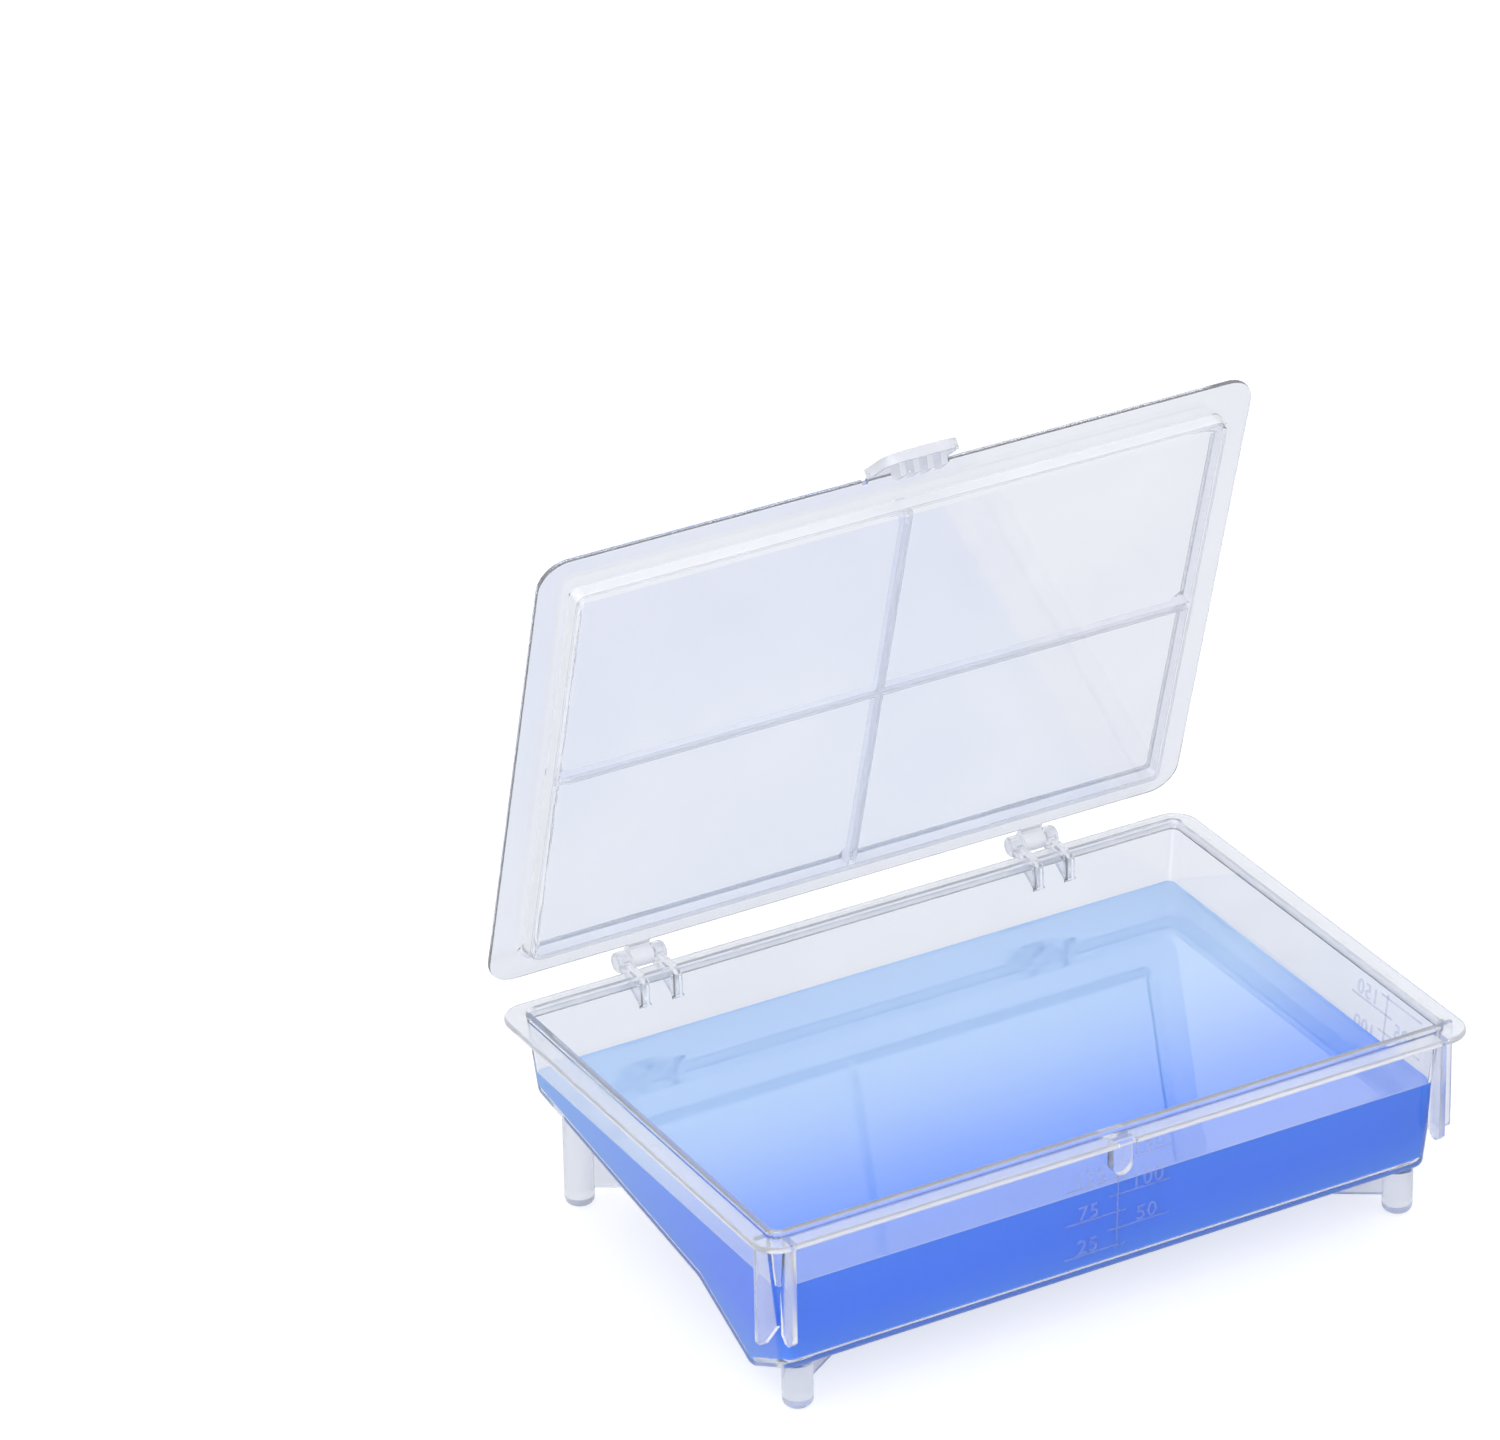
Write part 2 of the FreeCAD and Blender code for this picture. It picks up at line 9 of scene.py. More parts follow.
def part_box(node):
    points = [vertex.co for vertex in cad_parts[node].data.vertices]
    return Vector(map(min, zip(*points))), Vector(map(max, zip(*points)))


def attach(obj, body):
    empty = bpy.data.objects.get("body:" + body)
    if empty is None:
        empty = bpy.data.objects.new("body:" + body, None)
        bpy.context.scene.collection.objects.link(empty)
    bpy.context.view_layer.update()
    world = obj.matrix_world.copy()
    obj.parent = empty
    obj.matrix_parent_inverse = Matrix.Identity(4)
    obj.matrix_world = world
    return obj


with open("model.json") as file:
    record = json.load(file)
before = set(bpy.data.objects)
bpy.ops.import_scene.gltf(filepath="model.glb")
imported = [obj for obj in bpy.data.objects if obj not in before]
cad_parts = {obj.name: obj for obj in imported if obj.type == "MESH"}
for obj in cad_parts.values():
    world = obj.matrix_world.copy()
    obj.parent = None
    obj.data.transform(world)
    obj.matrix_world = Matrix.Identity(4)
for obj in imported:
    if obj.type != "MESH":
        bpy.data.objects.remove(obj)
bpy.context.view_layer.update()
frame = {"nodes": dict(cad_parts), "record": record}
MM = 0.001

# ---- sizes of the tray that the look repeats, in millimetres
RIM_HEIGHT = 33.3
RIM_HALF_WIDTH = 42.8
# the mouth's middle lies in front of the frame's origin
MOUTH_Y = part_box("tray")[0].y / MM + RIM_HALF_WIDTH
WALL_HALF_X = 60.8          # outside of the walls at the flange's top
WALL_HALF_Y = 39.7
WALL = 1.15
END_DRAFT = math.tan(math.radians(6.0))
LONG_DRAFT = math.tan(math.radians(3.0))
TROUGH = (-26.0, 2.2)       # (y, z) of the floor's underside at its lowest line
FOLD = (-11.6, 10.7)        # and where its steep slope meets the long one
FRONT_RISE = math.tan(math.radians(27.5))
STEEP = (FOLD[1] - TROUGH[1]) / (FOLD[0] - TROUGH[0])
BACK_SLOPE = math.tan(math.radians(9.7))
# start and end of the steps that pick out what stands outside a thin wall or the floor,
FEATURE_STAND = (0.08, 0.5)
# and the hinge ears' ribs inside the back wall: by height, towards the back, away from the middle
# and off the wall
EAR_RIB_HEIGHT = (27.0, 27.5)
EAR_RIB_BACK = (30.0, 31.0)
EAR_RIB_SPREAD = (45.0, 46.0)
EAR_RIB_STAND = (0.08, 0.4)

# ---- levels in the lid, from the hinge axis, as it lies closed
LID_HINGE = next(j for j in frame["record"]["behaviour"]["joints"] if j["name"] == "lid_hinge")
PANEL_UNDER = -2.7
PANEL_TOP = -1.9
FLANGE_UNDER = 0.5
LID_BACK = -2.5
LEVEL_EDGE = 0.05           # how far off a flat level a feature begins to look milky
LEVEL_FADE = 0.4            # and how far off it is fully so
UNDER_FADE = 0.3            # the same for what hangs under the panel


# ---- shader nodes
NOISE_SPAN = (0.3, 0.7)     # where nearly all of a noise texture's values lie
RAMP_SPAN = (0.35, 0.65)    # the part of them that a colour ramp spreads over


def new_material(name):
    mat = bpy.data.materials.new(name)
    mat.use_nodes = True
    tree = mat.node_tree
    tree.nodes.clear()
    return mat, tree


def plug(tree, socket, value):
    """Link a socket to another node's result, or set it to a number or a colour."""
    if isinstance(value, bpy.types.NodeSocket):
        tree.links.new(value, socket)
    elif isinstance(value, tuple):
        socket.default_value = (*value, 1)
    else:
        socket.default_value = value


def new_node(tree, kind, inputs):
    node = tree.nodes.new(kind)
    for name, value in inputs.items():
        plug(tree, node.inputs[name], value)
    return node


def place_on_piece(tree):
    """The point's place in the piece's own axes, in metres."""
    return tree.nodes.new("ShaderNodeTexCoord").outputs["Object"]


def noise(tree, scale, detail, roughness=0.5):
    node = new_node(tree, "ShaderNodeTexNoise", {
        "Vector": place_on_piece(tree), "Scale": scale, "Detail": detail, "Roughness": roughness})
    return node.outputs["Fac"]


def ramp(tree, value, low, high):
    node = new_node(tree, "ShaderNodeValToRGB", {"Fac": value})
    for element, position, colour in zip(node.color_ramp.elements, RAMP_SPAN, (low, high)):
        element.position = position
        element.color = (*colour, 1)
    return node.outputs["Color"]


def map_range(tree, value, start, end, low, high, kind):
    node = new_node(tree, "ShaderNodeMapRange", {
        "Value": value, "From Min": start, "From Max": end, "To Min": low, "To Max": high})
    node.interpolation_type = kind
    return node.outputs["Result"]


def soft_step(tree, value, start, end, low=0.0, high=1.0):
    return map_range(tree, value, start, end, low, high, "SMOOTHSTEP")


def spread(tree, value, low, high):
    """Noise stretched to run from low to high."""
    return map_range(tree, value, *NOISE_SPAN, low, high, "LINEAR")


def bump(tree, height, strength, distance):
    node = new_node(tree, "ShaderNodeBump", {
        "Height": height, "Strength": strength, "Distance": distance})
    return node.outputs["Normal"]


def calc(tree, operation, *values):
    """Math node on numbers and other nodes' results."""
    node = tree.nodes.new("ShaderNodeMath")
    node.operation = operation
    for socket, value in zip(node.inputs, values):
        plug(tree, socket, value)
    return node.outputs[0]


def largest(tree, first, *others):
    for value in others:
        first = calc(tree, "MAXIMUM", first, value)
    return first


def split_axes(tree, vector):
    return new_node(tree, "ShaderNodeSeparateXYZ", {"Vector": vector}).outputs


def millimetres(tree, vector):
    axes = split_axes(tree, vector)
    return [calc(tree, "DIVIDE", axes[axis], MM) for axis in "XYZ"]


def mix_colours(tree, share, first, second, blend="MIX"):
    node = tree.nodes.new("ShaderNodeMix")
    node.data_type = "RGBA"
    node.blend_type = blend
    for name, value in (("Factor", share), ("A", first), ("B", second)):
        plug(tree, node.inputs[name], value)
    return node.outputs["Result"]


def mix_shaders(tree, share, first, second):
    node = tree.nodes.new("ShaderNodeMixShader")
    for socket, value in zip(node.inputs, (share, first, second)):
        tree.links.new(value, socket)
    return node.outputs[0]


def colour_along(tree, axis, start, end, low, high):
    """Colour that changes along one of the tray's axes, between two places in millimetres."""
    shift = MOUTH_Y if axis == "Y" else 0
    reach = soft_step(tree, split_axes(tree, place_on_piece(tree))[axis],
                      (start + shift) * MM, (end + shift) * MM)
    return mix_colours(tree, reach, low, high)


# ---- where the plastic is thick
def tray_features(tree):
    """1 on the flange, ribs, webs, legs and ears, which stand outside the thin walls and floor."""
    x, y, z = millimetres(tree, place_on_piece(tree))
    y = calc(tree, "SUBTRACT", y, MOUTH_Y)
    off_centre = calc(tree, "ABSOLUTE", x)
    drop = calc(tree, "SUBTRACT", RIM_HEIGHT, z)
    beyond_end = calc(tree, "SUBTRACT", off_centre,
                      calc(tree, "MULTIPLY_ADD", drop, -END_DRAFT, WALL_HALF_X))
    beyond_side = calc(tree, "SUBTRACT", calc(tree, "ABSOLUTE", y),
                       calc(tree, "MULTIPLY_ADD", drop, -LONG_DRAFT, WALL_HALF_Y))
    front, steep, back = (
        calc(tree, "MULTIPLY_ADD", y, slope, point[1] - slope * point[0])
        for point, slope in ((TROUGH, -FRONT_RISE), (TROUGH, STEEP), (FOLD, BACK_SLOPE)))
    underside = calc(tree, "MAXIMUM", front, calc(tree, "MINIMUM", steep, back))
    under = calc(tree, "SUBTRACT", underside, z)
    above = calc(tree, "SUBTRACT", z, RIM_HEIGHT)
    outside = soft_step(tree, largest(tree, beyond_end, beyond_side, under, above), *FEATURE_STAND)
    # the ears' ribs stand inside the back wall, so they need a mask of their own
    inside = calc(tree, "SUBTRACT",
                  calc(tree, "MULTIPLY_ADD", drop, -LONG_DRAFT, WALL_HALF_Y - WALL), y)
    high_and_back = calc(tree, "MULTIPLY", soft_step(tree, z, *EAR_RIB_HEIGHT),
                         soft_step(tree, y, *EAR_RIB_BACK))
    clear_of_ends = soft_step(tree, off_centre, *EAR_RIB_SPREAD, 1.0, 0.0)
    ears = calc(tree, "MULTIPLY", soft_step(tree, inside, *EAR_RIB_STAND),
                calc(tree, "MULTIPLY", high_and_back, clear_of_ends))
    return calc(tree, "MAXIMUM", outside, ears)


def lid_features(tree):
    """1 on the ribs, recess walls, gussets and hinge tongues: off the lid's two flat levels."""
    turn = tree.nodes.new("ShaderNodeMapping")
    angle = math.radians(-LID_HINGE["range_deg"][0])
    axis = Vector(LID_HINGE["pos_m"])
    turn.inputs["Rotation"].default_value = (angle, 0, 0)
    turn.inputs["Location"].default_value = -(Matrix.Rotation(angle, 3, "X") @ axis)
    tree.links.new(place_on_piece(tree), turn.inputs["Vector"])
    _, y, z = millimetres(tree, turn.outputs[0])
    between = calc(
        tree, "MULTIPLY",
        soft_step(tree, z, PANEL_TOP + LEVEL_EDGE, PANEL_TOP + LEVEL_FADE),
        soft_step(tree, z, FLANGE_UNDER - LEVEL_FADE, FLANGE_UNDER - LEVEL_EDGE, 1.0, 0.0))
    below = soft_step(tree, z, PANEL_UNDER - UNDER_FADE, PANEL_UNDER - LEVEL_EDGE, 1.0, 0.0)
    behind = soft_step(tree, y, LID_BACK, LID_BACK + LEVEL_FADE)
    return largest(tree, between, below, behind)


# ---- materials
PLASTIC_IOR = 1.49
SHADOW_TINT = (0.97, 0.975, 0.985)
BODY_TINT = (0.30, 0.36, 0.50)
# the plastic's colour varies between these two, on the thin walls and on the flap
CLEAR = ((0.89, 0.905, 0.95), (0.93, 0.94, 0.97))
FLAP_MILK = ((0.905, 0.918, 0.963), (0.93, 0.94, 0.975))
# share of white scatter, added roughness and colour of the thick features
TRAY_THICK = {"white": 0.20, "frost": 0.11, "colour": (0.94, 0.955, 0.995)}
LID_THICK = {"white": 0.66, "frost": 0.20, "colour": (0.95, 0.955, 0.985)}
CLOUDS = (0.92, 1.08)       # the white scatter varies by these shares

# (axis, start, end, colour at the start, colour at the end), in millimetres, y from the mouth's
# middle
# The surface is paler towards the back: partly the shallower liquid there, partly painted
# reflection.
SURFACE_BLUE_AND_PAINTED_REFLECTION = ("Y", -32, 16, (0.0, 0.20, 1.0), (0.40, 0.63, 1.0))
# The body is paler low down, near the floor, where light shows through the thin liquid: painted
# light.
BODY_BLUE_AND_PAINTED_LIGHT = ("Z", 1, 17, (0.10, 0.36, 1.0), (0.012, 0.215, 1.0))
# Painted light added to the body: paler towards the back.
PAINTED_LIGHT_AT_BACK = ("Y", -36, 40, (0, 0, 0), (0.14, 0.22, 0.0))
SURFACE_SHINE = {"IOR": 2.3, "Roughness": 0.0,
                 "Coat Weight": 1.0, "Coat IOR": 1.8, "Coat Roughness": 0.0}
BODY_SHINE = {"IOR": 1.1, "Roughness": 0.35}


def plastic(name, colours, rough, milky, density, features=None, thick=None):
    """Clear moulded polypropylene: thin walls nearly clear, thick features milky and frosted."""
    mat, tree = new_material(name)
    clear = 1 - milky
    colour = ramp(tree, noise(tree, scale=26, detail=4), *colours)
    haze = spread(tree, noise(tree, scale=420, detail=5, roughness=0.6), *rough)
    if features:
        mask = features(tree)
        cloud = soft_step(tree, noise(tree, scale=60, detail=3), *NOISE_SPAN,
                          *(share * thick["white"] for share in CLOUDS))
        clear = calc(tree, "SUBTRACT", clear, calc(tree, "MULTIPLY", mask, cloud))
        haze = calc(tree, "MULTIPLY_ADD", mask, thick["frost"], haze)
        colour = mix_colours(tree, mask, colour, thick["colour"])
    flow = bump(tree, noise(tree, scale=130, detail=2), strength=0.10, distance=0.0004)
    bsdf = new_node(tree, "ShaderNodeBsdfPrincipled", {
        "Base Color": colour, "Roughness": haze, "Transmission Weight": clear,
        "IOR": PLASTIC_IOR, "Normal": flow})
    # light from the lamps reaches what is behind the piece
    shadow = new_node(tree, "ShaderNodeBsdfTransparent", {"Color": SHADOW_TINT})
    path = tree.nodes.new("ShaderNodeLightPath").outputs
    surface = mix_shaders(tree, path["Is Shadow Ray"], bsdf.outputs[0], shadow.outputs[0])
    volume = new_node(tree, "ShaderNodeVolumeAbsorption", {"Color": BODY_TINT, "Density": density})
    new_node(tree, "ShaderNodeOutputMaterial", {"Surface": surface, "Volume": volume.outputs[0]})
    return mat


def liquid_material(name, blues_and_painted_light, shine):
    """Deep blue aqueous reagent, its colour the sum of one or more changes along the tray, which
    hold painted light and painted reflection.
    """
    mat, tree = new_material(name)
    colour, *added = (colour_along(tree, *blue) for blue in blues_and_painted_light)
    for blue in added:
        colour = mix_colours(tree, 1, colour, blue, "ADD")
    drift = ramp(tree, noise(tree, scale=16, detail=3), (0.93, 0.95, 0.99), (1.0, 1.0, 1.0))
    bsdf = new_node(tree, "ShaderNodeBsdfPrincipled", {
        **shine,
        "Base Color": mix_colours(tree, 1, colour, drift, "MULTIPLY"),
        "Normal": bump(tree, noise(tree, scale=30, detail=1), strength=0.01, distance=0.0003)})
    new_node(tree, "ShaderNodeOutputMaterial", {"Surface": bsdf.outputs[0]})
    return mat


def frosted_marks(name):
    """Faintly frosted top of a raised mark: the wall under it shows through."""
    mat, tree = new_material(name)
    grain = noise(tree, scale=420, detail=5, roughness=0.6)
    bsdf = new_node(tree, "ShaderNodeBsdfPrincipled", {
        "Base Color": ramp(tree, noise(tree, scale=300, detail=3),
                           (0.42, 0.53, 0.88), (0.50, 0.60, 0.92)),
        "Roughness": spread(tree, grain, 0.35, 0.55),
        "IOR": 1.3,
        "Alpha": 0.20,
        "Normal": bump(tree, noise(tree, scale=900, detail=2), strength=0.2, distance=0.0001)})
    new_node(tree, "ShaderNodeOutputMaterial", {"Surface": bsdf.outputs[0]})
    return mat


tray_plastic = plastic("clear_plastic_tray", CLEAR, rough=(0.018, 0.048), milky=0.05, density=5,
                       features=tray_features, thick=TRAY_THICK)
lid_plastic = plastic("clear_plastic_lid", CLEAR, rough=(0.024, 0.064), milky=0.08, density=12,
                      features=lid_features, thick=LID_THICK)
flap_plastic = plastic("clear_plastic_flap", FLAP_MILK, rough=(0.23, 0.28), milky=0.53, density=12)
mark_plastic = frosted_marks("moulded_marks")

for node, mat in (("tray", tray_plastic), ("lid", lid_plastic), ("latch_flap", flap_plastic)):
    mesh = frame["nodes"][node].data
    mesh.materials.clear()
    mesh.materials.append(mat)


def add_piece(name, bm, mat, body, sharp):
    """Smooth piece from a mesh, with edges that turn by more than so many degrees left sharp."""
    for face in bm.faces:
        face.smooth = True
    for edge in bm.edges:
        if len(edge.link_faces) == 2:
            edge.smooth = edge.calc_face_angle(0) < math.radians(sharp)
    mesh = bpy.data.meshes.new(name)
    bm.to_mesh(mesh)
    bm.free()
    obj = bpy.data.objects.new(name, mesh)
    bpy.context.scene.collection.objects.link(obj)
    mesh.materials.append(mat)
    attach(obj, body)
    return obj


# ---- the blue reagent
LIQUID_LEVEL = 23.3
LIQUID_GAP = -0.05          # the liquid reaches into the plastic, so no air film shows
LIQUID_SHARP = 50           # an edge is sharp where the faces turn by more degrees than this
EDGE_ROUND = 1.2            # along the floor's folds and the tray's upright corners
EDGE_SEGMENTS = 5
# (width, drop) of each ring from the wall inwards. The last is level, so that the others don't tilt
# the mirror, and together they are narrower than the rounded corners
MENISCUS = ((0.18, 0.11), (0.22, 0.07), (0.35, 0.05), (0.15, 0.0))
LEVEL_SLACK = 0.02          # a face this little under the level still belongs to the surface
NEARLY_FLAT = 0.7           # least upward part of such a face's normal


def inner_x(z):
    return WALL_HALF_X - WALL - LIQUID_GAP - (RIM_HEIGHT - z) * END_DRAFT


def inner_y(z):
    return WALL_HALF_Y - WALL - LIQUID_GAP - (RIM_HEIGHT - z) * LONG_DRAFT


def raised(point, slope):
    """Slope and height at y = 0 of a floor line, lifted square to itself to the floor's top."""
    lift = WALL + LIQUID_GAP
    return slope, point[1] - slope * point[0] + lift * math.hypot(1, slope)


def meet(a, b):
    """(y, z) where two floor lines cross."""
    y = (b[1] - a[1]) / (a[0] - b[0])
    return y, a[0] * y + a[1]


def wall_meet(line, side):
    """(y, z) where a floor line meets the front wall, side -1, or the back wall, side 1."""
    # the wall is at y = side * (inner_y(0) + z * LONG_DRAFT)
    z = (line[1] + line[0] * side * inner_y(0)) / (1 - line[0] * side * LONG_DRAFT)
    return side * inner_y(z), z


def liquid():
    """Liquid that fills the tray from its floor up to the level, with a meniscus round the edge."""
    front, steep = raised(TROUGH, -FRONT_RISE), raised(TROUGH, STEEP)
    back = raised(FOLD, BACK_SLOPE)
    top = LIQUID_LEVEL + sum(drop for _, drop in MENISCUS)
    profile = [(-inner_y(top), top), wall_meet(front, -1), meet(front, steep), meet(steep, back),
               wall_meet(back, 1), (inner_y(top), top)]
    bm = bmesh.new()
    rows = [[bm.verts.new(Vector((side * inner_x(z), y + MOUTH_Y, z)) * MM) for side in (-1, 1)]
            for y, z in profile]
    for (a, b), (c, d) in zip(rows, rows[1:]):
        bm.faces.new((a, b, d, c))
    top_face = bm.faces.new((rows[-1][0], rows[-1][1], rows[0][1], rows[0][0]))
    bm.faces.new([row[0] for row in rows][::-1])
    bm.faces.new([row[1] for row in rows])
    bmesh.ops.recalc_face_normals(bm, faces=bm.faces)
    rim = set(top_face.edges)
    bmesh.ops.bevel(bm, geom=[e for e in bm.edges if e not in rim], offset=EDGE_ROUND * MM,
                    segments=EDGE_SEGMENTS, profile=0.5, affect="EDGES", clamp_overlap=True)
    bm.faces.ensure_lookup_table()
    top_face = max(bm.faces, key=lambda f: f.calc_center_median().z)
    for width, drop in MENISCUS:
        bmesh.ops.inset_region(bm, faces=[top_face], thickness=width * MM, use_even_offset=True)
        for vert in top_face.verts:
            vert.co.z -= drop * MM
    level = (LIQUID_LEVEL - LEVEL_SLACK) * MM
    for face in bm.faces:
        on_top = face.calc_center_median().z > level and face.normal.z > NEARLY_FLAT
        face.material_index = 0 if on_top else 1
    body = liquid_material("blue_reagent_body_painted_light", (BODY_BLUE_AND_PAINTED_LIGHT, PAINTED_LIGHT_AT_BACK), BODY_SHINE)
    surface = liquid_material("blue_reagent_surface_painted_reflection", (SURFACE_BLUE_AND_PAINTED_REFLECTION,), SURFACE_SHINE)
    obj = add_piece("reagent_liquid", bm, surface, "tray", LIQUID_SHARP)
    obj.data.materials.append(body)


# ---- moulded scale: plain volume lines and their numbers, raised on the outside of two walls
MARK_STAND = 0.14
MARK_ROOT = 0.08            # how far the marks reach into the wall that they are part of
MARK_LEAN = 0.6             # how far a mark's shoulders lean in, as a share of its height
MARK_SHARP = 25
LINE_WIDTH = 0.34
MIDDLE_DROP = 12.2          # of the point that the middle line's two ends are measured from
MIDDLE_ENDS = (-9.4, 10.4)
DIGIT_HEIGHT = 2.7
DIGIT_SHARE = 0.72          # a digit's height as a share of its font's size
DIGIT_SPACING = 1.08
DIGIT_CURVE_STEPS = 4
NUMBER_REACH = 0.56         # where a number's middle stands along its line
NUMBER_LIFT = 0.35          # and how far above the line's middle its foot is
# drop of each line below the flange's top
MARK_DROPS = {175: 2.4, 150: 5.4, 125: 8.5, 100: 11.6, 75: 14.7, 50: 17.8, 25: 20.9}
UNNUMBERED = 175


def wall_frame(which, along, drop):
    """Matrix on a wall's outside: x along the reading direction, y up the wall, z outward."""
    z = RIM_HEIGHT - drop
    if which == "front":
        draft = math.atan(LONG_DRAFT)
        place = Vector((along, MOUTH_Y - WALL_HALF_Y + drop * LONG_DRAFT, z))
        right = Vector((1, 0, 0))
        up = Vector((0, -math.sin(draft), math.cos(draft)))
    else:
        draft = math.atan(END_DRAFT)
        place = Vector((WALL_HALF_X - drop * END_DRAFT, along + MOUTH_Y, z))
        right = Vector((0, 1, 0))
        up = Vector((math.sin(draft), 0, math.cos(draft)))
    matrix = Matrix((right, up, right.cross(up))).transposed().to_4x4()
    matrix.translation = place
    return matrix


def bar(bm, matrix, x0, x1, y0, y1):
    """Low bar with bevelled shoulders on a wall."""
    lean = MARK_STAND * MARK_LEAN
    bottom, top = (
        [bm.verts.new(matrix @ Vector((x, y, z)) * MM)
         for x, y in ((x0 + set_in, y0 + set_in), (x1 - set_in, y0 + set_in),
                      (x1 - set_in, y1 - set_in), (x0 + set_in, y1 - set_in))]
        for z, set_in in ((-MARK_ROOT, 0), (MARK_STAND, lean)))
    bm.faces.new(top)
    bm.faces.new(bottom[::-1])
    for i in range(4):
        j = (i + 1) % 4
        bm.faces.new((bottom[i], bottom[j], top[j], top[i]))


def label(bm, matrix, text):
    """Raised digits on a wall, standing on the matrix's origin and centred on it."""
    curve = bpy.data.curves.new("digits", "FONT")
    curve.body = text
    curve.align_x = "CENTER"
    curve.align_y = "BOTTOM_BASELINE"
    curve.size = DIGIT_HEIGHT / DIGIT_SHARE
    curve.extrude = (MARK_STAND + MARK_ROOT) / 2
    curve.space_character = DIGIT_SPACING
    curve.resolution_u = DIGIT_CURVE_STEPS
    holder = bpy.data.objects.new("digits", curve)
    bpy.context.scene.collection.objects.link(holder)
    bpy.context.view_layer.update()
    mesh = bpy.data.meshes.new_from_object(holder)
    mesh.transform(Matrix.Translation((0, 0, (MARK_STAND - MARK_ROOT) / 2)))
    mesh.transform(matrix)
    mesh.transform(Matrix.Scale(MM, 4))
    bm.from_mesh(mesh)
    bpy.data.objects.remove(holder)
    bpy.data.meshes.remove(mesh)
    bpy.data.curves.remove(curve)


def scale(which, middle, reach, stub):
    """One wall's scale: a middle line, the 50s to the right of it and the odd 25s to the left."""
    bm = bmesh.new()
    half = LINE_WIDTH / 2
    bar(bm, wall_frame(which, middle, MIDDLE_DROP), -half, half, *MIDDLE_ENDS)
    for value, drop in MARK_DROPS.items():
        side = 1 if value % 50 == 0 else -1
        start, end = sorted((-side * stub, side * reach))
        bar(bm, wall_frame(which, middle, drop), start, end, -half, half)
        if value != UNNUMBERED:
            place = wall_frame(which, middle + side * reach * NUMBER_REACH, drop - NUMBER_LIFT)
            label(bm, place, str(value))
    add_piece("volume_scale_" + which, bm, mark_plastic, "tray", MARK_SHARP)


scale("right", middle=-23.7, reach=9.6, stub=1.7)
scale("front", middle=0.4, reach=9.4, stub=1.6)
liquid()


# ---- floor, light and camera
# how bright the white floor is to the camera, in a mirror and through clear plastic
FLOOR_SEEN, FLOOR_MIRRORED, FLOOR_THROUGH = 0.64, 0.50, 0.40
FLOOR_COLOUR = (0.50, 0.50, 0.51)
FLOOR_SIZE = 8.0            # metres
SKY_COLOUR, SKY_STRENGTH = (0.96, 0.975, 1.0), 0.95     # of the sky as a light
WHITE = (1, 1, 1)           # and as a backdrop,
THROUGH = (0.87, 0.875, 0.90)   # also as it looks through clear plastic

# in millimetres from the floor under the mouth's middle
CAMERA_PLACE = (-574.592, -957.599, 677.199)
CAMERA_HEADING = 29.142     # degrees to the right of straight back
CAMERA_DIP = 27.859         # degrees below level
CAMERA_ROLL = -1.166
SENSOR = 36
LENS = 197.832


def ray_kinds(tree):
    """Flags, each 1 for one kind of ray: from the camera, off a mirror, through plastic to the
    camera, and through plastic to a matt surface."""
    path = tree.nodes.new("ShaderNodeLightPath").outputs
    straight = calc(tree, "SUBTRACT", 1.0, calc(tree, "MINIMUM", path["Diffuse Depth"], 1.0))
    passed = path["Is Transmission Ray"]
    mirrored = calc(tree, "MULTIPLY", path["Is Glossy Ray"], calc(tree, "SUBTRACT", 1.0, passed))
    through = calc(tree, "MULTIPLY", passed, straight)
    lighting = calc(tree, "SUBTRACT", passed, through)
    return path["Is Camera Ray"], mirrored, through, lighting


def stage_floor():
    bpy.ops.mesh.primitive_plane_add(size=FLOOR_SIZE, location=(0, 0, 0))
    floor = bpy.context.object
    floor.name = "floor"
    mat, tree = new_material("white_sweep")
    strength = 0.0
    shares = (FLOOR_SEEN, FLOOR_MIRRORED, FLOOR_THROUGH, FLOOR_MIRRORED)
    for flag, share in zip(ray_kinds(tree), shares):
        strength = calc(tree, "MULTIPLY_ADD", flag, share, strength)
    diffuse = new_node(tree, "ShaderNodeBsdfDiffuse", {"Color": FLOOR_COLOUR})
    glow = new_node(tree, "ShaderNodeEmission", {"Strength": strength})
    add = tree.nodes.new("ShaderNodeAddShader")
    tree.links.new(diffuse.outputs[0], add.inputs[0])
    tree.links.new(glow.outputs[0], add.inputs[1])
    new_node(tree, "ShaderNodeOutputMaterial", {"Surface": add.outputs[0]})
    floor.data.materials.append(mat)


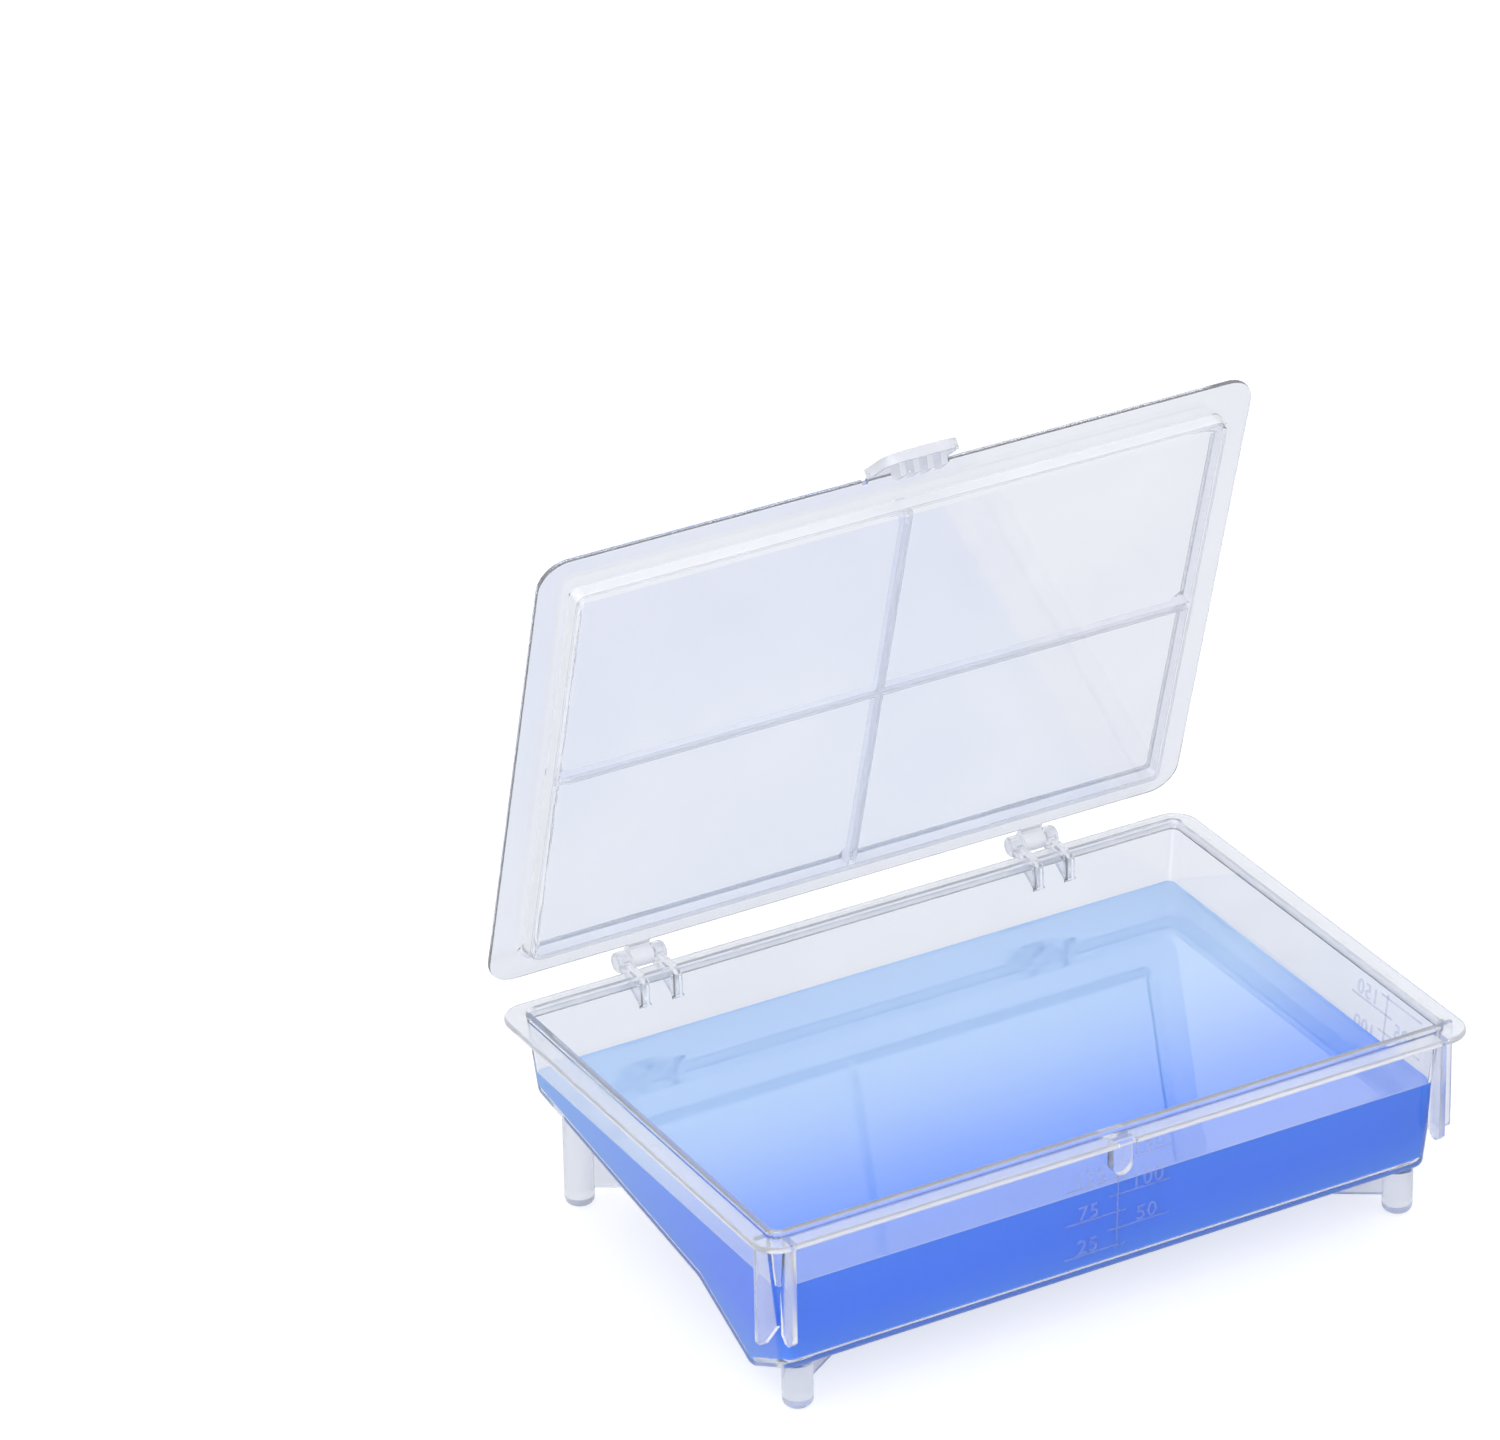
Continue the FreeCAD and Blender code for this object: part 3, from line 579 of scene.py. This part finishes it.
def background(tree, colour, strength):
    node = new_node(tree, "ShaderNodeBackground", {"Color": colour, "Strength": strength})
    return node.outputs[0]


def sky():
    world = bpy.data.worlds.new("studio")
    bpy.context.scene.world = world
    world.use_nodes = True
    tree = world.node_tree
    tree.nodes.clear()
    result = background(tree, SKY_COLOUR, SKY_STRENGTH)
    for flag, colour in zip(ray_kinds(tree), (WHITE, WHITE, THROUGH, WHITE)):
        result = mix_shaders(tree, flag, result, background(tree, colour, 1.0))
    new_node(tree, "ShaderNodeOutputWorld", {"Surface": result})


def softbox(name, place, target, size, energy):
    data = bpy.data.lights.new(name, "AREA")
    data.shape = "RECTANGLE"
    data.size, data.size_y = size
    data.energy = energy
    lamp = bpy.data.objects.new(name, data)
    bpy.context.scene.collection.objects.link(lamp)
    lamp.location = place
    lamp.rotation_euler = (Vector(target) - Vector(place)).to_track_quat("-Z", "Y").to_euler()


def camera():
    """Long lens from the front left, above."""
    heading, dip, roll = (math.radians(v) for v in (CAMERA_HEADING, CAMERA_DIP, CAMERA_ROLL))
    ahead = Vector((math.sin(heading) * math.cos(dip), math.cos(heading) * math.cos(dip),
                    -math.sin(dip)))
    right = Vector((math.cos(heading), -math.sin(heading), 0))
    up = right.cross(ahead)
    right, up = (math.cos(roll) * right + math.sin(roll) * up,
                 math.cos(roll) * up - math.sin(roll) * right)
    data = bpy.data.cameras.new("camera")
    data.sensor_width = SENSOR
    data.lens = LENS
    data.clip_start, data.clip_end = 0.05, 50
    obj = bpy.data.objects.new("camera", data)
    bpy.context.scene.collection.objects.link(obj)
    matrix = Matrix((right, up, -ahead)).transposed().to_4x4()
    matrix.translation = (Vector(CAMERA_PLACE) + Vector((0, MOUTH_Y, 0))) * MM
    obj.matrix_world = matrix
    bpy.context.scene.camera = obj


stage_floor()
sky()
softbox("overhead", place=(-0.25, 0.25, 1.1), target=(0, 0, 0), size=(1.2, 1.0), energy=1.6)
softbox("front_fill", place=(-0.9, -0.8, 0.6), target=(0, 0, 0.04), size=(0.8, 0.8), energy=5)
camera()
bpy.context.scene.view_settings.view_transform = "Standard"
